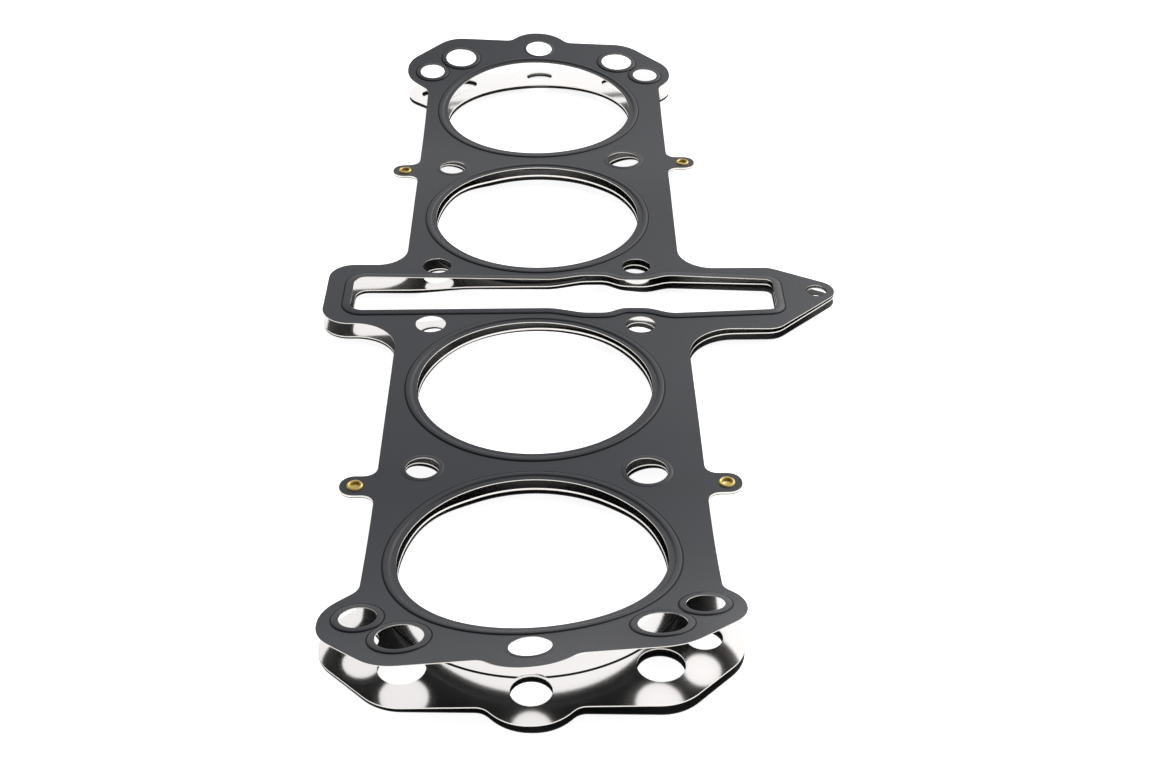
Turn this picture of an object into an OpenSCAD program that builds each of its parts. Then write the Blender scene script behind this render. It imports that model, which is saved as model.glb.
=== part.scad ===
// Cylinder head gasket for a four-cylinder engine with a chain tunnel in the middle.
// Three sheets are held together by four hollow eyelets: an embossed top sheet, a plain
// spacer and an embossed bottom sheet. Away from the eyelets the sheets bow apart.
// X runs across the engine, Y along the row of cylinders, Z up. The origin is the middle
// of the four stud holes around the chain slot, on the gasket's underside. Millimetres.

/* [Bores] */
// Diameter of each of the four cylinder openings
bore_d = 80; // [74:0.5:82]
// Distance between neighbouring bores on one side of the chain tunnel
bore_pitch = 93.4; // [91:0.2:98]
// Distance between the two bores on either side of the chain tunnel
tunnel_pitch = 118.4; // [116:0.2:124]

/* [Body] */
// Edge of the body on the side of the long tunnel arm, from the bores' line
side_right = 54.1; // [52:0.1:58]
// Edge of the body on the side of the short tunnel arm
side_left = 49.5; // [48.5:0.1:53]
// Half the width of the four corner lobes
lobe_half = 59.6; // [58.5:0.1:64]
// Reach of the short tunnel arm
arm_left = 77.6; // [76:0.1:84]
// Reach of the straight part of the long tunnel arm
arm_right = 87.5; // [86.5:0.1:90]

/* [Chain tunnel] */
// Length of the slot on the short arm's side
slot_left = 67.8; // [62:0.1:68]
// Length of the slot on the long arm's side
slot_right = 88.2; // [84:0.1:89]
// Half the width of the slot at the short arm
slot_half_left = 11.8; // [10.5:0.1:12]
// Half the width of the slot at the long arm
slot_half_right = 10.4; // [9:0.1:11]

/* [Holes] */
// Radius of the plain stud holes
stud_r = 5.4; // [4.8:0.05:5.6]
// Radius of the wide stud holes, which also carry oil
wide_stud_r = 6.7; // [6:0.05:7]
// Radius of the inner corner holes
corner_r = 6.8; // [6.2:0.05:7]
// Radius of the outer corner holes
outer_r = 5.4; // [4.8:0.05:5.5]
// Radius of the hole in each end's tip
tip_r = 5.9; // [5.2:0.05:6]
// Radius of the hole in the long arm's end
arm_r = 3.9; // [3:0.05:4.2]

/* [Sheets] */
// Thickness of the two embossed sheets
sheet_t = 0.3; // [0.25:0.01:0.4]
// Thickness of the plain spacer
spacer_t = 0.4; // [0.3:0.01:0.6]
// Height of the embossed beads
bead_h = 0.35; // [0.2:0.01:0.45]
// Width of the bead around each bore
bead_w = 2.5; // [2:0.05:2.8]
// Plain land between a bore and its bead
bead_land = 1.7; // [1.5:0.05:1.9]
// Width of the raised lip around the corner holes
lip_w = 2.2; // [1.5:0.05:2.3]
// Width of the raised lip around the chain slot
slot_lip_w = 3.2; // [2.4:0.05:3.4]

/* [Bow of the sheets] */
// Rise of the top sheet at the near tip
top_near = 19.9; // [8:0.1:26]
// Rise of the top sheet at the far tip
top_far = 9.8; // [4:0.1:16]
// Drop of the spacer at the near tip
spacer_near = 1; // [0.5:0.1:4]
// Drop of the spacer at the far tip
spacer_far = 7.4; // [4:0.1:10]
// Drop of the spacer at the chain tunnel
spacer_mid = 4.5; // [2.5:0.1:7]
// Sag of the spacer along the webs, between the eyelets
spacer_sag = 3.4; // [1:0.1:5]
// Gap between the two lower sheets at the near tip
near_gap = 2.2; // [1.6:0.1:4]
// Gap between the two lower sheets at the far tip
far_gap = 1.4; // [1.1:0.1:4]
// Gap between the two lower sheets at the chain tunnel
mid_gap = 1.2; // [1:0.1:3]
// Gap between the two lower sheets along the webs
sag_gap = 1.3; // [0.9:0.1:3]

/* [Eyelets] */
// Outer radius of the eyelet rims
rim_r = 2.65; // [2.4:0.05:3]
// Radius of the eyelet's through hole
eyelet_r = 1.55; // [1.3:0.05:1.6]

/* [Hidden] */
$fn = 96;
// rows along Y
inner_y = tunnel_pitch / 2;
outer_y = inner_y + bore_pitch;
web_y = inner_y + bore_pitch / 2;
end_y = outer_y + 57.4;
tip_y = outer_y + 64.2;
bore_r = bore_d / 2;
// tunnel studs
tunnel_stud = [37.7, inner_y - 38.7];
// corner holes
outer_hole = [lobe_half - 11.3, outer_y + 30.4];
corner_hole = [35.7, outer_y + 41.8];
tip_hole_y = outer_y + 51.4;
arm_hole = [arm_right + 16.5, 3.1];
arm_tip_x = arm_hole.x + 11.1;
// eyelets: centre of each, in the ears beside the webs
eyelet_near_left = [-side_left - 6.5, -web_y - 9.1];
eyelet_near_right = [side_right + 6.4, -web_y - 9.1];
eyelet_far_left = [-side_left - 5.7, web_y - 8.3];
eyelet_far_right = [side_right + 6.4, web_y - 2.9];
ear_r = 4.9;
shank_r = eyelet_r + 0.3;
rivet_hole_r = shank_r + 0.05;
// stud holes in the webs, each [x, y, radius]
web_studs = [
    [-35.4, -web_y - 0.3, stud_r],
    [35.8, -web_y - 2.9, wide_stud_r],
    [-35.4, web_y - 6.2, stud_r],
    [35.8, web_y - 0.1, wide_stud_r]
];
// heights of the stack at the eyelets
bottom_z = spacer_mid + mid_gap;
spacer_z = bottom_z + sheet_t;
top_z = spacer_z + spacer_t;
// bow of each sheet: [near, far, middle] drop or rise, then the twist of the same three,
// the hump in the middle of the slot and the sag along the webs
top_bow = [top_near, top_far, -0.9, 0.098, -0.06, -0.0125, 0, 0];
spacer_bow = [-spacer_near, -spacer_far, -spacer_mid, 0, 0.008, 0.013, 1.1, -spacer_sag];
bottom_bow = [
    -spacer_near - near_gap, -spacer_far - far_gap, -spacer_mid - mid_gap,
    -0.034, 0.02, 0, 1.9, -spacer_sag - sag_gap
];
// the sheets are pressed together around the eyelets, and stay plane beside the chain slot
flat_slot = tunnel_stud.y + stud_r + 1.1;
flat_in = web_y - 14;
flat_near = web_y + 14.2;
flat_far = web_y + 7;
end_far = tip_y + 1.2;
// held tight within the first radius of an eyelet, free to sag beyond the second
held_r = 12;
free_r = 38;
// the lower sheets lie in three strips: level in the middle, sloping up to the flanks
middle_x = eyelet_near_right.x - free_r;
flank_x = eyelet_near_right.x - held_r;
// the outermost bores' rings end between these two rows
ring_in = outer_y + bore_r - 0.8;
ring_out = outer_y + bore_r + bead_land + bead_w + 0.7;
function steps(from, to, n) = [for (i = [0 : n - 1]) from + i * (to - from) / n];
// rows along Y that the bows are drawn through, with web_n steps across each web
// and a row at each change of slope
function rows(web_n) = concat(
    steps(-end_far, -ring_out, 3),
    [-ring_out],
    steps(-ring_in, -flat_near, 9),
    steps(-flat_near, -flat_in, web_n),
    steps(-flat_in, -flat_slot, 8),
    [-flat_slot],
    steps(flat_slot, flat_in, 8),
    steps(flat_in, flat_far, web_n),
    steps(flat_far, ring_in, 9),
    [ring_in],
    steps(ring_out, end_far, 3),
    [end_far]
);
// the rows run past the outline by a margin, and are longer where the arms are
margin = 2;
arm_y = 45;
widest = max(lobe_half, eyelet_near_right.x + ear_r);
function row_left(y) = -margin - (abs(y) < arm_y ? arm_left : widest);
function row_right(y) = margin + (abs(y) < arm_y ? arm_tip_x : widest);
// heights between which every sheet lies
lowest = -40;
highest = 80;

// Height of a bowed sheet over its level at the eyelets

function clamp(t) = min(1, max(0, t));
function ease(t) = (1 - cos(180 * clamp(t))) / 2;
function swell(y) = 1 - ease((abs(y) - flat_slot) / (flat_in - flat_slot));
function out_near(y) = max(0, (-y - flat_near) / (tip_y - flat_near));
function out_far(y) = max(0, (y - flat_far) / (tip_y - flat_far));
function middle(x) = clamp((flank_x - abs(x)) / (flank_x - middle_x));
function beside(x, y) =
    y < 0
        ? (x < 0 ? eyelet_near_left : eyelet_near_right)
        : (x < 0 ? eyelet_far_left : eyelet_far_right);
function free(x, y) =
    let (c = beside(x, y), d = norm([max(0, abs(c.x) - abs(x)), y - c.y]))
    ease((d - held_r) / (free_r - held_r));
function sag(x, y) =
    free(x, y) * (1 - swell(y)) * pow(1 - pow(out_near(y) + out_far(y), 2), 2);
function rise(bow, x, y) =
    pow(out_near(y), 2) * (bow[0] + x * bow[3])
    + pow(out_far(y), 2) * (bow[1] + x * bow[4])
    + swell(y) * (bow[2] + x * bow[5] + middle(x) * bow[6])
    + sag(x, y) * bow[7];

// layer of space that follows a bowed sheet, from lo to hi over its level
module slab(bow, level, lo, hi) {
    sags = bow[7] != 0;
    ys = rows(sags ? 4 : 1);
    inner = sags ? [-flank_x, -middle_x, middle_x, flank_x] : [];
    n = len(ys);
    m = len(inner) + 2;
    points = [
        for (y = ys, h = [lo, hi], x = concat([row_left(y)], inner, [row_right(y)]))
            [x, y, level + rise(bow, x, y) + h]
    ];
    strips = [
        for (i = [0 : n - 2], k = [0 : m - 2])
            let (a = 2 * m * i + k, b = a + 2 * m, c = a + m, d = b + m)
            each [
                [b + 1, b, a + 1], [b, a, a + 1],
                [d, d + 1, c + 1], [d, c + 1, c]
            ]
    ];
    sides = [
        for (i = [0 : n - 2])
            let (a = 2 * m * i, b = a + 2 * m, r = m - 1)
            each [
                [b, b + m, a + m], [b, a + m, a],
                [a + m + r, b + m + r, b + r], [a + m + r, b + r, a + r]
            ]
    ];
    z = 2 * m * (n - 1);
    ends = [
        for (k = [0 : m - 2])
            each [[m + k, m + k + 1, k + 1, k], [z + k, z + k + 1, z + m + k + 1, z + m + k]]
    ];
    polyhedron(points = points, faces = concat(strips, sides, ends), convexity = 8);
}

// Outlines with rounded corners

function xy(p) = [p[0], p[1]];
function toward(a, b) = (xy(b) - xy(a)) / norm(xy(b) - xy(a));
function before(p, i) = p[(i + len(p) - 1) % len(p)];
function after(p, i) = p[(i + 1) % len(p)];
function turn(p, i) = cross(toward(before(p, i), p[i]), toward(p[i], after(p, i)));

// the same outline, moved outward by g
function grown(p, g) = [
    for (i = [0 : len(p) - 1])
        let (
            u = toward(before(p, i), p[i]),
            v = toward(p[i], after(p, i)),
            m = [u.y, -u.x],
            n = [v.y, -v.x],
            q = xy(p[i]) + (m + n) * g / (1 + m * n)
        )
        [q.x, q.y, p[i][2] + (turn(p, i) > 0 ? g : -g)]
];

// the rounding of corner i: its circle crosses both edges by a hair, at feet start and finish
bite = 0.02;
function side(p, i) = turn(p, i) > 0 ? 1 : -1;
function reach(p, i) =
    let (c = toward(before(p, i), p[i]) * toward(p[i], after(p, i)))
    (p[i][2] - bite) * sqrt((1 - c) / (1 + c));
function start(p, i) = xy(p[i]) - toward(before(p, i), p[i]) * reach(p, i);
function finish(p, i) = xy(p[i]) + toward(p[i], after(p, i)) * reach(p, i);
function centre(p, i) =
    let (u = toward(before(p, i), p[i]))
    start(p, i) + side(p, i) * (p[i][2] - bite) * [-u.y, u.x];

// what rounding takes off an outward corner
module corner(p, i) {
    difference() {
        polygon([start(p, i), xy(p[i]) + 0.4 * toward(centre(p, i), p[i]), finish(p, i)]);
        translate(centre(p, i)) circle(r = p[i][2]);
    }
}

// outline with its corners rounded: inward corners are bridged, then hollowed out
module rounded(p) {
    difference() {
        polygon([
            for (i = [0 : len(p) - 1])
                each side(p, i) > 0 ? [xy(p[i])] : [start(p, i), finish(p, i)]
        ]);
        for (i = [0 : len(p) - 1]) {
            if (side(p, i) > 0) {
                corner(p, i);
            } else {
                translate(centre(p, i)) circle(r = p[i][2]);
            }
        }
    }
}

// Plan of the gasket, each corner [x, y, radius], anticlockwise

// one corner lobe on the near right, from the tip outward
lobe = [
    [6.5, -tip_y, 14],
    [13, -end_y, 5],
    [41, -end_y, 15],
    [lobe_half, -end_y + 18.6, 14.5],
    [lobe_half, -end_y + 31.6, 14.5]
];
function foot(side) = [side, -end_y + 31.6 + lobe_half - side, 6];
function ear(side, c, y) = [
    [side, y - ear_r, 4],
    [abs(c) + ear_r, y - ear_r, 4.6],
    [abs(c) + ear_r, y + ear_r, 4.6],
    [side, y + ear_r, 4]
];
function flip_x(list) = [for (i = [len(list) - 1 : -1 : 0]) [-list[i][0], list[i][1], list[i][2]]];
function flip_y(list) = [for (i = [len(list) - 1 : -1 : 0]) [list[i][0], -list[i][1], list[i][2]]];

outline = concat(
    lobe,
    [foot(side_right)],
    ear(side_right, eyelet_near_right.x, eyelet_near_right.y),
    [
        [side_right, -23.1, 17],
        [arm_right - 0.6, -23.1, 8],
        [arm_tip_x, 4.6, 6.9],
        [arm_right + 0.5, 19.6, 8],
        [side_right, 19, 13]
    ],
    ear(side_right, eyelet_far_right.x, eyelet_far_right.y),
    flip_y([foot(side_right)]),
    flip_y(lobe),
    flip_y(flip_x(lobe)),
    flip_y(flip_x([foot(side_left)])),
    flip_x(ear(side_left, eyelet_far_left.x, eyelet_far_left.y)),
    [
        [-side_left, 21, 11],
        [-arm_left, 21, 9],
        [-arm_left, -20.2, 10.5],
        [-side_left, -20.2, 16]
    ],
    flip_x(ear(side_left, eyelet_near_left.x, eyelet_near_left.y)),
    flip_x([foot(side_left)]),
    flip_x(lobe)
);

// slot for the chain, which waves past the two studs on its right
slot_low = [
    [-slot_left, -slot_half_left, 4.5],
    [6, -10.1, 20],
    [17, -13.2, 18],
    [26, -13.2, 8.5],
    [31.5, -9.9, 8.5],
    [41, -9.9, 13],
    [49, -13.4, 11],
    [slot_right, -slot_half_right, 3]
];
slot = concat(slot_low, flip_y(slot_low));

// all the holes in a sheet but the chain slot, widened by g
module bores(g) {
    for (y = [-outer_y, -inner_y, inner_y, outer_y]) {
        translate([0, y]) circle(r = bore_r + g, $fn = 180);
    }
}

module tunnel_studs() {
    for (sx = [-1, 1], sy = [-1, 1]) {
        translate([sx * tunnel_stud.x, sy * tunnel_stud.y]) circle(r = stud_r);
    }
}

module end_holes(g) {
    for (sx = [-1, 1], sy = [-1, 1]) {
        translate([sx * outer_hole.x, sy * outer_hole.y]) circle(r = outer_r + g);
        translate([sx * corner_hole.x, sy * corner_hole.y]) circle(r = corner_r + g);
    }
}

module tip_holes(g) {
    for (sy = [-1, 1]) {
        translate([0, sy * tip_hole_y]) circle(r = tip_r + g);
    }
}

module stud_holes(g) {
    for (s = web_studs) {
        translate(xy(s)) circle(r = s[2] + g);
    }
}

module small_holes() {
    translate(arm_hole) circle(r = arm_r);
    for (c = [eyelet_near_left, eyelet_near_right, eyelet_far_left, eyelet_far_right]) {
        translate(c) circle(r = rivet_hole_r);
    }
}

module plan() {
    difference() {
        rounded(outline);
        rounded(slot);
        bores(0);
        tunnel_studs();
        end_holes(0);
        tip_holes(0);
        stud_holes(0);
        small_holes();
    }
}

// raised bands: a ring round each bore, and lips that run to the edge of the other holes
module bands(inset) {
    difference() {
        bores(bead_land + bead_w - inset);
        bores(bead_land + inset);
    }
    difference() {
        union() {
            rounded(grown(slot, slot_lip_w - inset));
            end_holes(lip_w - inset);
            tip_holes(1.1 - inset);
            stud_holes(1.6 - inset);
        }
        if (inset == 0) {
            rounded(slot);
            end_holes(0);
            tip_holes(0);
            stud_holes(0);
        }
    }
}

module upright() {
    translate([0, 0, lowest]) linear_extrude(height = highest - lowest) children();
}

// Pieces

module embossed(bow, level, up) {
    lo = up ? 0 : -sheet_t;
    difference() {
        union() {
            intersection() {
                upright() plan();
                slab(bow, level, lo, lo + sheet_t);
            }
            intersection() {
                upright() bands(0);
                slab(bow, level, up ? sheet_t / 2 : -sheet_t - bead_h, up ? sheet_t + bead_h : -sheet_t / 2);
            }
        }
        intersection() {
            upright() bands(sheet_t);
            slab(bow, level, up ? -1 : -bead_h, up ? bead_h : 1);
        }
    }
}

module top_sheet() {
    color("#56575a") embossed(top_bow, top_z, true);
}

module spacer_sheet() {
    color("#c9c8c6") intersection() {
        upright() plan();
        slab(spacer_bow, spacer_z, 0, spacer_t);
    }
}

module bottom_sheet() {
    color("#1d1e20") embossed(bottom_bow, bottom_z + sheet_t, false);
}

// hollow eyelet with a rolled rim above and below the three sheets
module eyelet(centre) {
    rim_t = (rim_r - eyelet_r) / 2;
    low = bottom_z;
    high = top_z + sheet_t;
    color("#c9a03c") translate(concat(centre, [0])) rotate_extrude() {
        translate([eyelet_r, low - 0.2]) square([shank_r - eyelet_r, high - low + 0.4]);
        intersection() {
            translate([eyelet_r + rim_t, high]) circle(r = rim_t, $fn = 48);
            translate([eyelet_r - 0.5, high]) square([2 * rim_t + 1, 1]);
        }
        intersection() {
            translate([eyelet_r + rim_t, low]) circle(r = rim_t, $fn = 48);
            translate([eyelet_r - 0.5, low - 1]) square([2 * rim_t + 1, 1]);
        }
    }
}

module rivet_near_left() {
    eyelet(eyelet_near_left);
}

module rivet_near_right() {
    eyelet(eyelet_near_right);
}

module rivet_far_left() {
    eyelet(eyelet_far_left);
}

module rivet_far_right() {
    eyelet(eyelet_far_right);
}

top_sheet();
spacer_sheet();
bottom_sheet();
rivet_near_left();
rivet_near_right();
rivet_far_left();
rivet_far_right();
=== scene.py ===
import math

import bpy
import numpy as np
from mathutils import Matrix, Vector
from mathutils.geometry import delaunay_2d_cdt
from mathutils.kdtree import KDTree


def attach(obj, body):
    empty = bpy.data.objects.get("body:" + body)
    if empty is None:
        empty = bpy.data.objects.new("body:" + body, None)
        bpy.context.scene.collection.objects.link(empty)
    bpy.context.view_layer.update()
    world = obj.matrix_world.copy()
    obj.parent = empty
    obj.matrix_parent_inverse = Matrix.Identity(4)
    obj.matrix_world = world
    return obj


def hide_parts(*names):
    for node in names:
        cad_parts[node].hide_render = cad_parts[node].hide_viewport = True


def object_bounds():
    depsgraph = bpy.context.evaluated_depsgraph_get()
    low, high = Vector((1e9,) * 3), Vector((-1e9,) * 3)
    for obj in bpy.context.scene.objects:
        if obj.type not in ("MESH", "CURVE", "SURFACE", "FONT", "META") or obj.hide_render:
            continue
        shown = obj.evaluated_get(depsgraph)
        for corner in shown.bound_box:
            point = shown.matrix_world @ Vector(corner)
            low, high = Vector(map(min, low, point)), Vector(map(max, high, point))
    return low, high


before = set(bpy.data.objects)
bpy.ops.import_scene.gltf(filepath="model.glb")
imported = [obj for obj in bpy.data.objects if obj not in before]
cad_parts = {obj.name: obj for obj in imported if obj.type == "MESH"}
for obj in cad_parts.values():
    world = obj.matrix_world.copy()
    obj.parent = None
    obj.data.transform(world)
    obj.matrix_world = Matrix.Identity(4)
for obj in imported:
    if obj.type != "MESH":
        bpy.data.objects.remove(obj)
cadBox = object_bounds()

mm = 0.001
print("frame loaded, box", [[round(v, 4) for v in corner] for corner in cadBox])

# The gasket seen from above, in millimetres: X across the engine, Y along the row of bores.
plan = {
    "boreRadius": 40.0,
    "borePitch": 93.4,
    "tunnelPitch": 118.4,
    "sideRight": 54.1,
    "sideLeft": 49.5,
    "lobeHalf": 59.6,
    "armRight": 87.5,
    "armLeft": 77.6,
    "slotRight": 88.2,
    "slotLeft": 67.8,
    "slotHalfRight": 10.4,
    "slotHalfLeft": 11.8,
    "studRadius": 5.4,
    "wideStudRadius": 6.7,
    "cornerRadius": 6.8,
    "outerRadius": 5.4,
    "tipRadius": 5.9,
    "armHoleRadius": 3.9,
    "eyeletHoleRadius": 1.9,
    "earRadius": 4.9,
    "earFoot": 4,
    "earRound": 4.6,
    # how far the end, its tip and the tip's hole lie past the centre of the outer bore
    "endReach": 57.4,
    "tipReach": 64.2,
    "tipHoleReach": 51.4,
    # how far in from the end the lobes stay wide, and where the arm's hole lies beyond the arm
    "lobeShoulder": 31.6,
    "armHoleReach": 16.5,
    "armHoleY": 3.1,
    # distance from the middle line, then from the centre of a bore towards the nearer end or,
    # for the tunnel's studs, towards the slot
    "outerHole": (48.3, 30.4),
    "cornerHole": (35.7, 41.8),
    "tunnelStud": (37.7, 38.7),
    # web studs: distances from the middle line, and shifts along Y from their web, in the order
    # near left, near right, far left, far right
    "webStudLeft": 35.4,
    "webStudRight": 35.8,
    "webStudShifts": (-0.3, -2.9, -6.2, -0.1),
}

# Eyelets: how far each stands out from its side, and its shift along Y from its web.
eyeletShifts = {
    "rivet_near_left": (-6.5, -9.1),
    "rivet_near_right": (6.4, -9.1),
    "rivet_far_left": (-5.7, -8.3),
    "rivet_far_right": (6.4, -2.9),
}

# How finely the sheets are drawn: a flat blank is cut into triangles, then pressed and bowed.
blank = {
    "pointSpacing": 1.3,
    "leastCorners": 28,
    "gridSpacing": 4.5,
    "rowShare": 0.866,  # rows of the grid lie this share of its spacing apart
    "clearShare": 0.45,  # and its points keep this share away from loops
    "tolerance": 1e-4,
    "mergeDigits": 3,
    "sharpAngle": 40,
}

# Heights of the three sheets. A bow gives the rise at the near tip, far tip and middle, the
# twist of the same three, the hump in the middle of the slot and the sag along the webs.
stack = {
    "sheetThickness": 0.3,
    "spacerThickness": 0.4,
    "eyeletLevel": 5.7,
    "top": (19.9, 9.8, -0.9, 0.098, -0.06, -0.0125, 0, 0),
    "spacer": (-1.0, -7.4, -4.5, 0.0, 0.008, 0.013, 1.1, -3.4),
    "bottom": (-3.2, -8.8, -5.7, -0.034, 0.02, 0.0, 1.9, -4.7),
    "heldRadius": 12,  # this near an eyelet the lower sheets don't sag
    "freeRadius": 38,  # and from here on they sag in full
    "middleX": 22.5,  # the hump is full this near the middle line
    "flankX": 48.5,  # and has run out here
    # the bows start past these distances from the slot's studs and from the webs
    "slotMargin": 1.1,
    "flatIn": 14,
    "flatNear": 14.2,
    "flatFar": 7,
}

# Pressed beads and lips, in millimetres from the edge of their hole.
press = {
    "height": 0.35,
    "boreLand": 1.7,  # flat rim between a bore and its bead
    "boreBead": 2.5,
    "shoulder": 0.6,
    "cornerLip": 2.2,
    "slotLip": 3.2,
    "studLip": 1.6,
    "tipLip": 1.1,
    "softShare": 0.4,  # height of the lips at studs and tips, as a share of the others
    "shadeIn": 0.3,  # width of the painted dark line at the foot, inside the edge of a bead or lip
    "shadeOut": 0.2,  # and outside it
    "margin": 0.5,
}

# The spacer is thicker in a ring round each bore, which stops short of the tip holes.
stopper = {
    "width": 6.4,
    "height": 0.3,
    "wall": 0.1,  # the ring rises within this width
    "shade": 0.5,  # width of the painted shade line at its foot
    "tipClearance": 0.5,
}

innerY = plan["tunnelPitch"] / 2
outerY = innerY + plan["borePitch"]
webY = innerY + plan["borePitch"] / 2
endY = outerY + plan["endReach"]
tipY = outerY + plan["tipReach"]
armHole = (plan["armRight"] + plan["armHoleReach"], plan["armHoleY"])
eyelets = {
    name: (
        (plan["sideRight"] if out > 0 else -plan["sideLeft"]) + out,
        (webY if "far" in name else -webY) + along,
    )
    for name, (out, along) in eyeletShifts.items()
}


# Outline: every corner is x, y and the radius that rounds it, anticlockwise.
def mirrored(corners, acrossX=False):
    flip = (-1, 1) if acrossX else (1, -1)
    return [(flip[0] * x, flip[1] * y, r) for x, y, r in reversed(corners)]


def ear(side, centre):
    reach = abs(centre[0]) + plan["earRadius"]
    low, high = centre[1] - plan["earRadius"], centre[1] + plan["earRadius"]
    foot, tip = plan["earFoot"], plan["earRound"]
    return [(side, low, foot), (reach, low, tip), (reach, high, tip), (side, high, foot)]


def gasketOutline():
    half, right, left = plan["lobeHalf"], plan["sideRight"], plan["sideLeft"]
    shoulderY = -endY + plan["lobeShoulder"]
    lobe = [
        (6.5, -tipY, 14),
        (13, -endY, 5),
        (41, -endY, 15),
        (half, -endY + 18.6, 14.5),
        (half, shoulderY, 14.5),
    ]
    footRight = [(right, shoulderY + half - right, 6)]
    footLeft = [(left, shoulderY + half - left, 6)]
    longArm = [
        (right, -23.1, 17),
        (plan["armRight"] - 0.6, -23.1, 8),
        (armHole[0] + 11.1, 4.6, 6.9),
        (plan["armRight"] + 0.5, 19.6, 8),
        (right, 19, 13),
    ]
    shortArm = [
        (-left, 21, 11),
        (-plan["armLeft"], 21, 9),
        (-plan["armLeft"], -20.2, 10.5),
        (-left, -20.2, 16),
    ]
    return (
        lobe + footRight + ear(right, eyelets["rivet_near_right"]) + longArm
        + ear(right, eyelets["rivet_far_right"]) + mirrored(footRight) + mirrored(lobe)
        + mirrored(mirrored(lobe, True)) + mirrored(mirrored(footLeft, True))
        + mirrored(ear(left, eyelets["rivet_far_left"]), True) + shortArm
        + mirrored(ear(left, eyelets["rivet_near_left"]), True)
        + mirrored(footLeft, True) + mirrored(lobe, True)
    )


def chainSlot():
    low = [
        (-plan["slotLeft"], -plan["slotHalfLeft"], 4.5),
        (6, -10.1, 20),
        (17, -13.2, 18),
        (26, -13.2, 8.5),
        (31.5, -9.9, 8.5),
        (41, -9.9, 13),
        (49, -13.4, 11),
        (plan["slotRight"], -plan["slotHalfRight"], 3),
    ]
    return low + mirrored(low)


def roundedLoop(corners, grow=0.0):
    # arcs at the corners and straight runs between them, in steps of the blank's spacing
    spacing = blank["pointSpacing"]
    arcs = []
    for i, (x, y, radius) in enumerate(corners):
        before, corner = Vector(corners[i - 1][:2]), Vector((x, y))
        after = Vector(corners[(i + 1) % len(corners)][:2])
        u, v = (corner - before).normalized(), (after - corner).normalized()
        side = 1 if u.cross(v) > 0 else -1
        out = Vector((u.y, -u.x)) + Vector((v.y, -v.x))
        corner = corner + out * grow / (1 + u.dot(v))
        radius = radius + side * grow
        reach = radius * math.sqrt((1 - u.dot(v)) / (1 + u.dot(v)))
        start = corner - u * reach
        centre = start + side * radius * Vector((-u.y, u.x))
        turn = side * math.acos(max(-1, min(1, u.dot(v))))
        count = max(3, math.ceil(abs(turn) * radius / spacing))
        spoke = start - centre
        arcs.append([centre + Matrix.Rotation(turn * k / count, 2) @ spoke for k in range(count + 1)])
    loop = []
    for i, arc in enumerate(arcs):
        following = arcs[(i + 1) % len(arcs)][0]
        run = following - arc[-1]
        count = max(1, round(run.length / spacing))
        loop += arc[:-1] + [arc[-1] + run * k / count for k in range(count)]
    return [(p.x, p.y) for p in loop]


def circleLoop(x, y, radius):
    count = max(blank["leastCorners"], round(2 * math.pi * radius / blank["pointSpacing"]))
    turns = [2 * math.pi * k / count for k in range(count)]
    return [(x + radius * math.cos(t), y + radius * math.sin(t)) for t in turns]


# Holes: x, y, radius and the width of the pressed lip at their edge.
boreCentres = [(0, y) for y in (-outerY, -innerY, innerY, outerY)]
outerX, outerReach = plan["outerHole"]
cornerX, cornerReach = plan["cornerHole"]
endHoles = [
    hole
    for sx in (-1, 1)
    for sy in (-1, 1)
    for hole in (
        (sx * outerX, sy * (outerY + outerReach), plan["outerRadius"], press["cornerLip"]),
        (sx * cornerX, sy * (outerY + cornerReach), plan["cornerRadius"], press["cornerLip"]),
    )
]
tipHoles = [
    (0, sy * (outerY + plan["tipHoleReach"]), plan["tipRadius"], press["tipLip"]) for sy in (-1, 1)
]
webLeft = (-plan["webStudLeft"], plan["studRadius"])
webRight = (plan["webStudRight"], plan["wideStudRadius"])
webStuds = [
    (x, y + shift, radius, press["studLip"])
    for (x, radius), y, shift in zip(
        (webLeft, webRight, webLeft, webRight), (-webY, -webY, webY, webY), plan["webStudShifts"]
    )
]
tunnelX, tunnelBack = plan["tunnelStud"]
tunnelStuds = [
    (sx * tunnelX, sy * (innerY - tunnelBack), plan["studRadius"], 0)
    for sx in (-1, 1)
    for sy in (-1, 1)
]
smallHoles = [(*armHole, plan["armHoleRadius"], 0)]
smallHoles += [(x, y, plan["eyeletHoleRadius"], 0) for x, y in eyelets.values()]
roundHoles = endHoles + tipHoles + webStuds + tunnelStuds + smallHoles


def ease(t):
    return (1 - np.cos(np.pi * np.clip(t, 0, 1))) / 2


def sagOf(x, y):
    # the lower sheets sag along the webs, and are held up around the eyelets
    sag = np.ones(len(x))
    for cx, cy in eyelets.values():
        here = (np.sign(x) == np.sign(cx)) & (np.sign(y) == np.sign(cy))
        distance = np.hypot(np.maximum(0, abs(cx) - np.abs(x)), y - cy)
        held = stack["heldRadius"]
        free = ease((distance - held) / (stack["freeRadius"] - held))
        sag = np.where(here, free, sag)
    return sag


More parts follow.
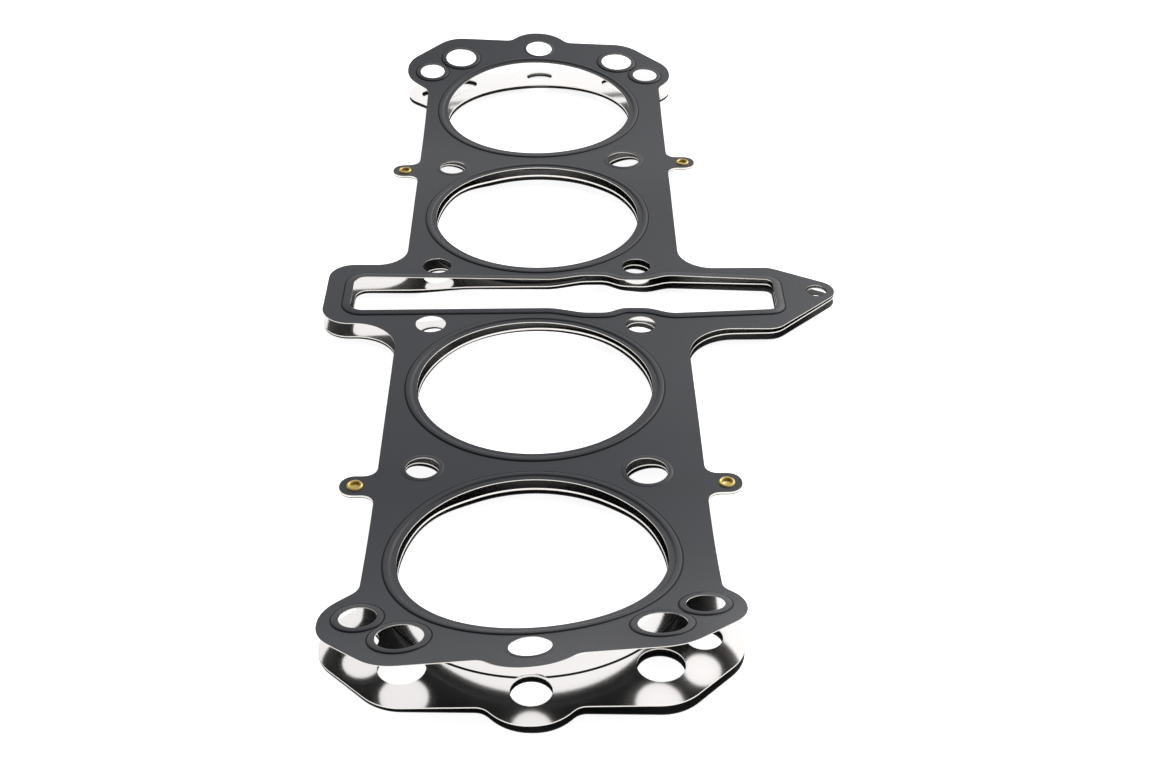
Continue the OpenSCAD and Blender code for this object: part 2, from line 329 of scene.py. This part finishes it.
def riseOf(bow, x, y):
    # height of a bowed sheet over its level at the eyelets
    nearTip, farTip, slotRise, nearTwist, farTwist, slotTwist, hump, sag = bow
    flatSlot = innerY - tunnelBack + plan["studRadius"] + stack["slotMargin"]
    flatIn = webY - stack["flatIn"]
    flatNear, flatFar = webY + stack["flatNear"], webY + stack["flatFar"]
    swell = 1 - ease((np.abs(y) - flatSlot) / (flatIn - flatSlot))
    near = np.maximum(0, (-y - flatNear) / (tipY - flatNear))
    far = np.maximum(0, (y - flatFar) / (tipY - flatFar))
    middle = ease((stack["flankX"] - np.abs(x)) / (stack["flankX"] - stack["middleX"]))
    return (
        near ** 2 * (nearTip + x * nearTwist)
        + far ** 2 * (farTip + x * farTwist)
        + swell * (slotRise + x * slotTwist + middle * hump)
        + sagOf(x, y) * (1 - swell) * (1 - (near + far) ** 2) ** 2 * sag
    )


def smoothStep(t):
    t = np.clip(t, 0, 1)
    return t * t * (3 - 2 * t)


def insideLoop(loop, points):
    # even-odd test of many points against one closed loop
    a = np.array(loop)
    b = np.roll(a, -1, axis=0)
    inside = np.zeros(len(points), bool)
    for (x1, y1), (x2, y2) in zip(a, b):
        if y1 == y2:
            continue
        crosses = (points[:, 1] > min(y1, y2)) & (points[:, 1] <= max(y1, y2))
        crossing = x1 + (points[:, 1] - y1) * (x2 - x1) / (y2 - y1)
        inside ^= crosses & (points[:, 0] < crossing)
    return inside


def distanceToLoop(loop, points):
    a = np.array(loop)
    b = np.roll(a, -1, axis=0)
    best = np.full(len(points), np.inf)
    for start, end in zip(a, b):
        run = end - start
        t = np.clip((points - start) @ run / (run @ run), 0, 1)
        gap = points - start - t[:, None] * run
        best = np.minimum(best, np.hypot(gap[:, 0], gap[:, 1]))
    return best


def pressedForm(points):
    # how far beads and lips stand out of the sheet, and a weight for the painted shade on their
    # shoulders
    shoulder = press["shoulder"]
    forms = []
    for x, y in boreCentres:
        s = np.hypot(points[:, 0] - x, points[:, 1] - y) - plan["boreRadius"] - press["boreLand"]
        forms.append((1, smoothStep(s / shoulder) * smoothStep((press["boreBead"] - s) / shoulder)))
    for x, y, radius, lip in roundHoles:
        if lip:
            s = np.hypot(points[:, 0] - x, points[:, 1] - y) - radius
            # the lips of studs and tips are pressed more softly than those in the corners
            share = 1 if lip == press["cornerLip"] else press["softShare"]
            forms.append((share, smoothStep((lip - s) / shoulder)))
    s = distanceToLoop(roundedLoop(chainSlot()), points)
    forms.append((1, smoothStep((press["slotLip"] - s) / shoulder)))
    raised = press["height"] * np.max([share * form for share, form in forms], axis=0)
    # a shoulder is steepest halfway up, and takes the most painted shade there
    shoulder_shade = np.max([share * 4 * form * (1 - form) for share, form in forms], axis=0)
    return raised, shoulder_shade


def onCreaseShade(points):
    # true along the outer edge of a bead or lip, where a painted dark line marks its foot
    found = np.zeros(len(points), bool)
    feet = [(x, y, plan["boreRadius"] + press["boreLand"] + press["boreBead"]) for x, y in boreCentres]
    feet += [(x, y, radius + lip) for x, y, radius, lip in endHoles]
    for x, y, radius in feet:
        s = np.hypot(points[:, 0] - x, points[:, 1] - y) - radius
        found |= (s > -press["shadeIn"]) & (s < press["shadeOut"])
    s = distanceToLoop(roundedLoop(chainSlot()), points) - press["slotLip"]
    return found | ((s > -press["shadeIn"]) & (s < press["shadeOut"]))


def stopperReach(points):
    # how far each point lies inside a stopper ring, and outside the tip holes' clearance
    inRing, offTip = np.full(len(points), -np.inf), np.full(len(points), np.inf)
    for x, y in boreCentres:
        edge = plan["boreRadius"] + stopper["width"]
        inRing = np.maximum(inRing, edge - np.hypot(points[:, 0] - x, points[:, 1] - y))
    for x, y, radius, lip in tipHoles:
        edge = radius + stopper["tipClearance"]
        offTip = np.minimum(offTip, np.hypot(points[:, 0] - x, points[:, 1] - y) - edge)
    return inRing, offTip


def contourOffsets(inner, outer):
    # distances at which a shoulder needs points, for a bead or lip between inner and outer
    shoulder = press["shoulder"]
    shares = (0, 0.25, 0.5, 0.75, 1)
    foot = [outer - shoulder * share for share in shares]
    foot += [outer + press["shadeOut"], outer + press["margin"]]
    if inner is None:
        return foot
    return foot + [inner + shoulder * share for share in shares] + [inner - press["margin"]]


def sheetLoops(pressed):
    edges = [roundedLoop(gasketOutline()), roundedLoop(chainSlot())]
    edges += [circleLoop(x, y, plan["boreRadius"]) for x, y in boreCentres]
    edges += [circleLoop(x, y, radius) for x, y, radius, lip in roundHoles]
    contours = []
    if pressed:
        land, bead = press["boreLand"], press["boreBead"]
        for offset in contourOffsets(land, land + bead):
            contours += [circleLoop(x, y, plan["boreRadius"] + offset) for x, y in boreCentres]
        for x, y, radius, lip in roundHoles:
            if lip:
                contours += [circleLoop(x, y, radius + offset) for offset in contourOffsets(None, lip)]
        for offset in contourOffsets(None, press["slotLip"]):
            contours.append(roundedLoop(chainSlot(), offset))
    else:
        edge = plan["boreRadius"] + stopper["width"]
        for reach in (edge - stopper["wall"], edge, edge + stopper["shade"]):
            contours += [circleLoop(x, y, reach) for x, y in boreCentres]
        for offset in (stopper["tipClearance"], stopper["tipClearance"] + stopper["wall"]):
            contours += [circleLoop(x, y, radius + offset) for x, y, radius, lip in tipHoles]
    return edges, contours


def flatPattern(pressed):
    # triangles of the flat blank, with its points where the pressing bends
    edges, contours = sheetLoops(pressed)
    points, links = [], []
    for loop in edges + contours:
        first = len(points)
        points += loop
        links += [(first + k, first + (k + 1) % len(loop)) for k in range(len(loop))]
    tree = KDTree(len(points))
    for k, (x, y) in enumerate(points):
        tree.insert((x, y, 0), k)
    tree.balance()
    low, high = np.min(edges[0], axis=0), np.max(edges[0], axis=0)
    pitch = blank["gridSpacing"]
    for row, y in enumerate(np.arange(low[1], high[1], pitch * blank["rowShare"])):
        for x in np.arange(low[0] + pitch / 2 * (row % 2), high[0], pitch):
            if tree.find((x, y, 0))[2] > pitch * blank["clearShare"]:
                points.append((x, y))
    result = delaunay_2d_cdt([Vector(p) for p in points], links, [], 0, blank["tolerance"], False)
    # points that coincide where contours touch become one
    flat = np.round([(p.x, p.y) for p in result[0]], blank["mergeDigits"]) + 0.0
    flat, same = np.unique(flat, axis=0, return_inverse=True)
    faces = same.ravel()[np.array(result[2])]
    faces = faces[(faces != np.roll(faces, 1, axis=1)).all(axis=1)]
    middle = flat[faces].mean(axis=1)
    keep = insideLoop(edges[0], middle)
    for loop in edges[1:]:
        keep &= ~insideLoop(loop, middle)
    faces = faces[keep]
    used, index = np.unique(faces, return_inverse=True)
    return flat[used], index.reshape(faces.shape)


def sheetHeights(flat, level, bow, thickness, pressing):
    # heights of the lower and upper face, and the weight of painted shade on the shoulders
    lower = level + riseOf(bow, flat[:, 0], flat[:, 1])
    if pressing:
        raised, shoulder_shade = pressedForm(flat)
        lower = lower + pressing * raised
        return lower, lower + thickness, shoulder_shade
    reach = np.minimum(*stopperReach(flat))
    ring = stopper["height"] * np.clip(reach / stopper["wall"], 0, 1)
    return lower, lower + thickness + ring, np.zeros(len(flat))


def sheetWalls(flat, faces):
    # faces turned anticlockwise, and a wall along each edge that only one of them uses
    a, b, c = flat[faces[:, 0]], flat[faces[:, 1]], flat[faces[:, 2]]
    area = (b[:, 0] - a[:, 0]) * (c[:, 1] - a[:, 1]) - (b[:, 1] - a[:, 1]) * (c[:, 0] - a[:, 0])
    faces = np.where(area[:, None] > 0, faces, faces[:, ::-1])
    sides = np.vstack([faces[:, [0, 1]], faces[:, [1, 2]], faces[:, [2, 0]]])
    pairs = {tuple(pair) for pair in sides.tolist()}
    rim = [(p, q) for p, q in pairs if (q, p) not in pairs]
    count = len(flat)
    return faces, [(q, p, p + count, q + count) for p, q in sorted(rim)]


def onFootShade(points, pressing):
    # true at the foot of a bead or lip or, on the spacer, of a stopper ring, where a painted shade line
    # goes
    if pressing:
        return onCreaseShade(points) & (pressedForm(points)[0] < press["height"] / 2)
    inRing, offTip = stopperReach(points)
    return (inRing > -stopper["shade"]) & (inRing < stopper["wall"]) & (offTip > stopper["wall"])


def sheetPiece(name, node, pattern, level, bow, thickness, pressing, materials):
    # materials: upper face, lower face, cut edge, and the painted shade line at the foot of beads, lips
    # or rings
    upperSlot, lowerSlot, edgeSlot, footShadeSlot = range(4)
    flat, faces = pattern
    lower, upper, shoulder_shade = sheetHeights(flat, level, bow, thickness, pressing)
    points = np.vstack([np.column_stack([flat, upper]), np.column_stack([flat, lower])]) * mm
    faces, walls = sheetWalls(flat, faces)
    allFaces = faces.tolist() + (faces[:, ::-1] + len(flat)).tolist() + walls
    mesh = bpy.data.meshes.new(name)
    mesh.from_pydata(points.tolist(), [], allFaces)
    # faces that take the painted shade line at the foot of beads, lips or rings
    foot = onFootShade(flat[faces].mean(axis=1), pressing)
    slots = np.where(foot, footShadeSlot, upperSlot).tolist()
    slots += [lowerSlot] * len(faces) + [edgeSlot] * len(walls)
    mesh.polygons.foreach_set("material_index", slots)
    mesh.polygons.foreach_set("use_smooth", [True] * len(allFaces))
    mesh.set_sharp_from_angle(angle=math.radians(blank["sharpAngle"]))
    # weight of the painted shade on the shoulders of beads and lips
    mesh.attributes.new("shoulder_shade", "FLOAT", "POINT").data.foreach_set("value", np.tile(shoulder_shade, 2))
    plane = mesh.uv_layers.new(name="plane")
    corners = np.empty(len(mesh.loops), np.int32)
    mesh.loops.foreach_get("vertex_index", corners)
    plane.data.foreach_set("uv", points[corners, :2].ravel())
    mesh.validate()
    for material in materials:
        mesh.materials.append(material)
    piece = bpy.data.objects.new(name, mesh)
    bpy.context.scene.collection.objects.link(piece)
    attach(piece, "root")
    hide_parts(node)
    print(name, len(mesh.polygons), "faces")
    return piece


# Materials
def linear(hexColour):
    # sRGB hex to the linear values that shaders take
    channels = [int(hexColour[k:k + 2], 16) / 255 for k in (1, 3, 5)]
    return (*[c / 12.92 if c <= 0.04045 else ((c + 0.055) / 1.055) ** 2.4 for c in channels], 1)


def addNode(tree, kind, settings, links):
    # adds one node, sets its sockets or properties, and links outputs to its sockets, which go
    # by name, or by number where a node has several of one name
    node = tree.nodes.new(kind)
    for key, value in settings.items():
        if isinstance(key, int) or key in node.inputs:
            node.inputs[key].default_value = value
        else:
            setattr(node, key, value)
    for key, source in links.items():
        tree.links.new(source, node.inputs[key])
    return node


def newMaterial(name):
    material = bpy.data.materials.new(name)
    material.use_nodes = True
    material.node_tree.nodes.clear()
    return material, material.node_tree


def roughnessRange(settings):
    return settings["roughness"] - settings["spread"], settings["roughness"] + settings["spread"]


def rubberCoatedSteel(name, settings):
    # nitrile rubber rolled on steel and cured: satin, with a fine grain and faint cloudiness
    material, tree = newMaterial(name)
    place = addNode(tree, "ShaderNodeTexCoord", {}, {}).outputs["Object"]
    cloud = addNode(
        tree, "ShaderNodeTexNoise",
        {"Scale": 1 / (settings["cloudSize"] * mm), "Detail": 3}, {"Vector": place},
    )
    grain = addNode(
        tree, "ShaderNodeTexNoise",
        {"Scale": 1 / (settings["grainSize"] * mm), "Detail": 4}, {"Vector": place},
    )
    colour = addNode(
        tree, "ShaderNodeMix",
        {"data_type": "RGBA", 6: linear(settings["dark"]), 7: linear(settings["light"])},
        {0: cloud.outputs["Fac"]},
    )
    # painted shade: the shoulders of beads and lips are darkened towards a near-black colour, and made
    # rougher
    shoulder_shade = addNode(tree, "ShaderNodeAttribute", {"attribute_name": "shoulder_shade"}, {}).outputs["Fac"]
    shadedColour = addNode(
        tree, "ShaderNodeMix", {"data_type": "RGBA", 7: linear(settings["shoulder_shade"])},
        {0: shoulder_shade, 6: colour.outputs[2]},
    )
    low, high = roughnessRange(settings)
    rough = addNode(
        tree, "ShaderNodeMapRange", {"To Min": low, "To Max": high}, {"Value": grain.outputs["Fac"]}
    )
    duller = addNode(
        tree, "ShaderNodeMix",
        {3: settings["creaseRoughness"]}, {0: shoulder_shade, 2: rough.outputs["Result"]},
    )
    bump = addNode(
        tree, "ShaderNodeBump",
        {"Strength": settings["bump"], "Distance": settings["bumpDepth"] * mm},
        {"Height": grain.outputs["Fac"]},
    )
    shader = addNode(
        tree, "ShaderNodeBsdfPrincipled",
        {"IOR": settings["ior"], "Specular IOR Level": settings["specular"]},
        {
            "Base Color": shadedColour.outputs[2], "Roughness": duller.outputs[0],
            "Normal": bump.outputs["Normal"],
        },
    )
    addNode(tree, "ShaderNodeOutputMaterial", {}, {"Surface": shader.outputs["BSDF"]})
    return material


def brightRolledSteel(name, settings):
    # stainless strip from polished rolls: almost a mirror, drawn out along the rolling lines
    material, tree = newMaterial(name)
    place = addNode(tree, "ShaderNodeTexCoord", {}, {}).outputs["Object"]
    lines = addNode(
        tree, "ShaderNodeMapping",
        {"Scale": (1 / (settings["lineLength"] * mm), 1 / (settings["lineWidth"] * mm), 1)},
        {"Vector": place},
    )
    streak = addNode(
        tree, "ShaderNodeTexNoise", {"Scale": 1, "Detail": 3}, {"Vector": lines.outputs["Vector"]}
    )
    low, high = roughnessRange(settings)
    rough = addNode(
        tree, "ShaderNodeMapRange", {"To Min": low, "To Max": high}, {"Value": streak.outputs["Fac"]}
    )
    colour = addNode(
        tree, "ShaderNodeMix",
        {"data_type": "RGBA", 6: linear(settings["dark"]), 7: linear(settings["light"])},
        {0: streak.outputs["Fac"]},
    )
    bump = addNode(
        tree, "ShaderNodeBump",
        {"Strength": settings["bump"], "Distance": settings["bumpDepth"] * mm},
        {"Height": streak.outputs["Fac"]},
    )
    along = addNode(tree, "ShaderNodeTangent", {"direction_type": "UV_MAP", "uv_map": "plane"}, {})
    shader = addNode(
        tree, "ShaderNodeBsdfPrincipled",
        {"Metallic": 1.0, "Anisotropic": settings["anisotropy"]},
        {
            "Base Color": colour.outputs[2], "Roughness": rough.outputs["Result"],
            "Normal": bump.outputs["Normal"], "Tangent": along.outputs["Tangent"],
        },
    )
    addNode(tree, "ShaderNodeOutputMaterial", {}, {"Surface": shader.outputs["BSDF"]})
    return material


def blankedEdge(name, settings):
    # edge of sheared steel: fine streaks across the thickness, some burnished, some torn dull
    material, tree = newMaterial(name)
    place = addNode(tree, "ShaderNodeTexCoord", {}, {}).outputs["Object"]
    across = 1 / (settings["lineWidth"] * mm)
    lines = addNode(
        tree, "ShaderNodeMapping",
        {"Scale": (across, across, 1 / (settings["lineLength"] * mm))}, {"Vector": place},
    )
    streak = addNode(
        tree, "ShaderNodeTexNoise", {"Scale": 1, "Detail": 2}, {"Vector": lines.outputs["Vector"]}
    )
    low, high = roughnessRange(settings)
    rough = addNode(
        tree, "ShaderNodeMapRange", {"To Min": low, "To Max": high}, {"Value": streak.outputs["Fac"]}
    )
    colour = addNode(
        tree, "ShaderNodeMix",
        {"data_type": "RGBA", 6: linear(settings["dark"]), 7: linear(settings["light"])},
        {0: streak.outputs["Fac"]},
    )
    shader = addNode(
        tree, "ShaderNodeBsdfPrincipled", {"Metallic": settings["metallic"]},
        {"Base Color": colour.outputs[2], "Roughness": rough.outputs["Result"]},
    )
    addNode(tree, "ShaderNodeOutputMaterial", {}, {"Surface": shader.outputs["BSDF"]})
    return material


def rolledBrass(name, settings):
    # drawn brass, burnished where the tool rolled it over, with faint spots and tool marks
    material, tree = newMaterial(name)
    place = addNode(tree, "ShaderNodeTexCoord", {}, {}).outputs["Object"]
    spots = addNode(
        tree, "ShaderNodeTexNoise",
        {"Scale": 1 / (settings["spotSize"] * mm), "Detail": 3}, {"Vector": place},
    )
    marks = addNode(
        tree, "ShaderNodeTexNoise",
        {"Scale": 1 / (settings["markSize"] * mm), "Detail": 3}, {"Vector": place},
    )
    colour = addNode(
        tree, "ShaderNodeMix",
        {"data_type": "RGBA", 6: linear(settings["dark"]), 7: linear(settings["light"])},
        {0: spots.outputs["Fac"]},
    )
    low, high = roughnessRange(settings)
    rough = addNode(
        tree, "ShaderNodeMapRange", {"To Min": low, "To Max": high}, {"Value": marks.outputs["Fac"]}
    )
    bump = addNode(
        tree, "ShaderNodeBump",
        {"Strength": settings["bump"], "Distance": settings["bumpDepth"] * mm},
        {"Height": marks.outputs["Fac"]},
    )
    shader = addNode(
        tree, "ShaderNodeBsdfPrincipled", {"Metallic": 1.0},
        {
            "Base Color": colour.outputs[2], "Roughness": rough.outputs["Result"],
            "Normal": bump.outputs["Normal"],
        },
    )
    addNode(tree, "ShaderNodeOutputMaterial", {}, {"Surface": shader.outputs["BSDF"]})
    return material


# What the coatings share, and what the edges share; sizes of patterns are in millimetres.
rubberFilm = {
    "ior": 1.52, "cloudSize": 16, "grainSize": 0.22, "bump": 0.25, "bumpDepth": 0.02, "spread": 0.05,
}
shearedEdge = {"lineWidth": 0.25, "lineLength": 1.5, "spread": 0.1}

# the third colour of each coating is painted shade, laid on the shoulders of its beads and lips
topCoating = rubberCoatedSteel("coated_steel_grey", {
    **rubberFilm, "dark": "#23252c", "light": "#292b33", "shoulder_shade": "#08080a",
    "roughness": 0.36, "creaseRoughness": 0.42, "specular": 0.36,
})
topUnderside = rubberCoatedSteel("coated_steel_underside", {
    **rubberFilm, "dark": "#0b0b0c", "light": "#101011", "shoulder_shade": "#080809",
    "roughness": 0.45, "creaseRoughness": 0.5, "specular": 0.25,
})
bottomCoating = rubberCoatedSteel("coated_steel_black", {
    **rubberFilm, "dark": "#121314", "light": "#17181a", "shoulder_shade": "#0a0a0b",
    "roughness": 0.45, "creaseRoughness": 0.5, "specular": 0.35,
})
spacerSteel = brightRolledSteel("bright_rolled_steel", {
    "dark": "#f3efed", "light": "#fdfbfa", "lineWidth": 0.3, "lineLength": 40,
    "roughness": 0.13, "spread": 0.03, "anisotropy": 0.3, "bump": 0.05, "bumpDepth": 0.01,
})
# painted shade: a near-black, low-gloss finish for the faces at the foot of beads and lips
footShade = rubberCoatedSteel("coated_steel_foot_shade", {
    **rubberFilm, "dark": "#0a0a0c", "light": "#0e0e11", "shoulder_shade": "#08080a",
    "roughness": 0.5, "creaseRoughness": 0.5, "specular": 0.1,
})
steelEdge = blankedEdge("blanked_steel_edge", {
    **shearedEdge, "dark": "#c4c0ba", "light": "#efece6", "roughness": 0.4, "metallic": 1.0,
})
brightEdge = blankedEdge("blanked_spacer_edge", {
    **shearedEdge, "dark": "#d2cec8", "light": "#f3f0ec", "roughness": 0.35, "metallic": 1.0,
})
# painted shade: the step of a stopper ring and a strip of spacer in front of it, drawn as a thin dark
# line
stopperShade = blankedEdge("ring_foot_shade", {
    **shearedEdge, "dark": "#060607", "light": "#141416", "roughness": 0.5, "metallic": 0.0,
})
# the bottom sheet's cut edge, drawn dark
blackEdge = blankedEdge("blanked_edge_dark", {
    **shearedEdge, "dark": "#0d0d0e", "light": "#1b1b1d", "roughness": 0.5, "metallic": 0.0,
})
eyeletBrass = rolledBrass("eyelet_brass", {
    "dark": "#a8904a", "light": "#dcc582", "roughness": 0.3, "spread": 0.06,
    "spotSize": 1.2, "markSize": 0.2, "bump": 0.25, "bumpDepth": 0.02,
})
print("materials made")

# The three sheets: the top one's beads are pressed upward, the bottom one's downward.
pressedPattern = flatPattern(True)
plainPattern = flatPattern(False)
print("patterns", len(pressedPattern[1]), len(plainPattern[1]), "triangles")
sheetT, spacerT = stack["sheetThickness"], stack["spacerThickness"]
# heights of the undersides where the eyelets hold them
levels = {
    "bottom": stack["eyeletLevel"],
    "spacer": stack["eyeletLevel"] + sheetT,
    "top": stack["eyeletLevel"] + sheetT + spacerT,
}
topPiece = sheetPiece(
    "top_sheet_pressed", "top_sheet", pressedPattern, levels["top"], stack["top"], sheetT, 1,
    (topCoating, topUnderside, steelEdge, footShade),
)
spacerPiece = sheetPiece(
    "spacer_sheet_rolled", "spacer_sheet", plainPattern, levels["spacer"], stack["spacer"],
    spacerT, 0,
    (spacerSteel, spacerSteel, brightEdge, stopperShade),
)
bottomPiece = sheetPiece(
    "bottom_sheet_pressed", "bottom_sheet", pressedPattern, levels["bottom"], stack["bottom"],
    sheetT, -1,
    (bottomCoating, bottomCoating, blackEdge, footShade),
)

# Eyelets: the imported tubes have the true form, and take their finish here
for name in eyelets:
    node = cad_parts[name]
    node.data.materials.clear()
    node.data.materials.append(eyeletBrass)

# Thin drawn floors close the eyelets a little below the face of the top sheet.
eyeletFloor = {
    "radius": 1.56,
    "thickness": 0.25,
    "belowTop": 0.35,
    "dish": 0.12,
    "rings": 4,
    "corners": 32,
}


def floorDisc(centre, level):
    # a shallow dish of even thickness, as points and faces of a closed solid
    corners, rings = eyeletFloor["corners"], eyeletFloor["rings"]
    points, faces = [], []
    for side in (0, -eyeletFloor["thickness"]):
        points.append((centre[0], centre[1], level + side - eyeletFloor["dish"]))
        for ring in range(1, rings + 1):
            radius = eyeletFloor["radius"] * ring / rings
            z = level + side - eyeletFloor["dish"] * (1 - (ring / rings) ** 2)
            for k in range(corners):
                turn = 2 * math.pi * k / corners
                x, y = radius * math.cos(turn), radius * math.sin(turn)
                points.append((centre[0] + x, centre[1] + y, z))
    under = 1 + rings * corners
    for k in range(corners):
        after = (k + 1) % corners
        faces += [(0, 1 + k, 1 + after), (under, under + 1 + after, under + 1 + k)]
        for ring in range(rings - 1):
            a, b = 1 + ring * corners, 1 + (ring + 1) * corners
            faces.append((a + k, b + k, b + after, a + after))
            faces.append((under + a + after, under + b + after, under + b + k, under + a + k))
        edge = 1 + (rings - 1) * corners
        faces.append((edge + k, under + edge + k, under + edge + after, edge + after))
    return points, faces


def eyeletFloors():
    points, faces = [], []
    level = levels["top"] + sheetT - eyeletFloor["belowTop"]
    for centre in eyelets.values():
        disc, sides = floorDisc(centre, level)
        faces += [tuple(len(points) + corner for corner in side) for side in sides]
        points += [tuple(value * mm for value in point) for point in disc]
    mesh = bpy.data.meshes.new("eyelet_floors")
    mesh.from_pydata(points, [], faces)
    mesh.polygons.foreach_set("use_smooth", [True] * len(faces))
    mesh.set_sharp_from_angle(angle=math.radians(blank["sharpAngle"]))
    mesh.materials.append(eyeletBrass)
    piece = bpy.data.objects.new("eyelet_floors", mesh)
    bpy.context.scene.collection.objects.link(piece)
    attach(piece, "root")
    print("eyelet_floors", len(faces), "faces")
    return piece


eyeletFloors()

# Floor, light and camera
stage = {
    "size": 6.0,  # in metres
    "floorColour": "#f2f2f2",
    "fillWhite": 0.86,  # glow of the floor where it is seen, directly or in the steel
    "worldLight": 0.64,
    "worldSlope": (0.4, 0.42, 0.0),  # more light from the right and from the far side
}


def whiteFloor():
    # diffuse white that keeps the shadow, lifted to white where it is seen
    material, tree = newMaterial("studio_floor")
    path = addNode(tree, "ShaderNodeLightPath", {}, {})
    seen = path.outputs["Is Camera Ray"]
    for ray in ("Is Glossy Ray", "Is Transmission Ray"):
        either = addNode(
            tree, "ShaderNodeMath", {"operation": "MAXIMUM"}, {0: seen, 1: path.outputs[ray]}
        )
        seen = either.outputs[0]
    lift = addNode(
        tree, "ShaderNodeMath", {"operation": "MULTIPLY", 1: stage["fillWhite"]}, {0: seen}
    )
    matt = addNode(tree, "ShaderNodeBsdfDiffuse", {"Color": linear(stage["floorColour"])}, {})
    glow = addNode(tree, "ShaderNodeEmission", {}, {"Strength": lift.outputs[0]})
    both = addNode(tree, "ShaderNodeAddShader", {}, {0: matt.outputs[0], 1: glow.outputs[0]})
    addNode(tree, "ShaderNodeOutputMaterial", {}, {"Surface": both.outputs[0]})
    return material


def layFloor():
    low = cadBox[0][2]
    half = stage["size"] / 2
    mesh = bpy.data.meshes.new("floor")
    corners = [(-half, -half, low), (half, -half, low), (half, half, low), (-half, half, low)]
    mesh.from_pydata(corners, [], [(0, 1, 2, 3)])
    mesh.materials.append(whiteFloor())
    floor = bpy.data.objects.new("floor", mesh)
    bpy.context.scene.collection.objects.link(floor)


def lightWorld():
    # white where the camera sees it; its light falls off towards the left and the near side
    world = bpy.data.worlds.new("studio")
    bpy.context.scene.world = world
    world.use_nodes = True
    tree = world.node_tree
    tree.nodes.clear()
    path = addNode(tree, "ShaderNodeLightPath", {}, {})
    way = addNode(tree, "ShaderNodeTexCoord", {}, {}).outputs["Generated"]
    slope = addNode(
        tree, "ShaderNodeVectorMath", {"operation": "DOT_PRODUCT", 1: stage["worldSlope"]}, {0: way}
    )
    light = addNode(
        tree, "ShaderNodeMath", {"operation": "ADD", 1: stage["worldLight"]}, {0: slope.outputs["Value"]}
    )
    strength = addNode(
        tree, "ShaderNodeMix", {3: 1.0}, {0: path.outputs["Is Camera Ray"], 2: light.outputs[0]}
    )
    sky = addNode(
        tree, "ShaderNodeBackground", {"Color": (1, 1, 1, 1)}, {"Strength": strength.outputs[0]}
    )
    addNode(tree, "ShaderNodeOutputWorld", {}, {"Surface": sky.outputs[0]})


# A soft lamp stands behind the gasket to the right; its size is in metres, its power in watts.
softbox = {
    "name": "right_softbox",
    "place": (0.8, 1.0, 1.0),
    "aim": (0, 0, 0),
    "size": (0.9, 0.9),
    "power": 8,
}


def placeSoftbox():
    lamp = bpy.data.lights.new(softbox["name"], "AREA")
    lamp.shape = "RECTANGLE"
    lamp.size, lamp.size_y = softbox["size"]
    lamp.energy = softbox["power"]
    holder = bpy.data.objects.new(softbox["name"], lamp)
    holder.location = softbox["place"]
    look = Vector(softbox["aim"]) - Vector(softbox["place"])
    holder.rotation_euler = look.to_track_quat("-Z", "Y").to_euler()
    bpy.context.scene.collection.objects.link(holder)


# The camera looks down along the row of bores from the near end. Places are in metres, the
# roll in degrees, the lens and the sensor's width in millimetres.
view = {
    "place": (0.0087, -0.5347, 0.3339),
    "aim": (0.0139, -0.0600, 0.0067),
    "roll": -0.158,
    "lens": 53.03,
    "sensor": 36.0,
    "nearClip": 0.01,
}


def placeCamera():
    camera = bpy.data.cameras.new("camera")
    camera.lens = view["lens"]
    camera.sensor_width = view["sensor"]
    camera.clip_start = view["nearClip"]
    holder = bpy.data.objects.new("camera", camera)
    look = (Vector(view["aim"]) - Vector(view["place"])).to_track_quat("-Z", "Y").to_matrix()
    turn = look @ Matrix.Rotation(math.radians(view["roll"]), 3, "Z")
    holder.matrix_world = Matrix.Translation(view["place"]) @ turn.to_4x4()
    bpy.context.scene.collection.objects.link(holder)
    bpy.context.scene.camera = holder


layFloor()
lightWorld()
placeSoftbox()
placeCamera()
bpy.context.scene.view_settings.view_transform = "Standard"
print("stage set")
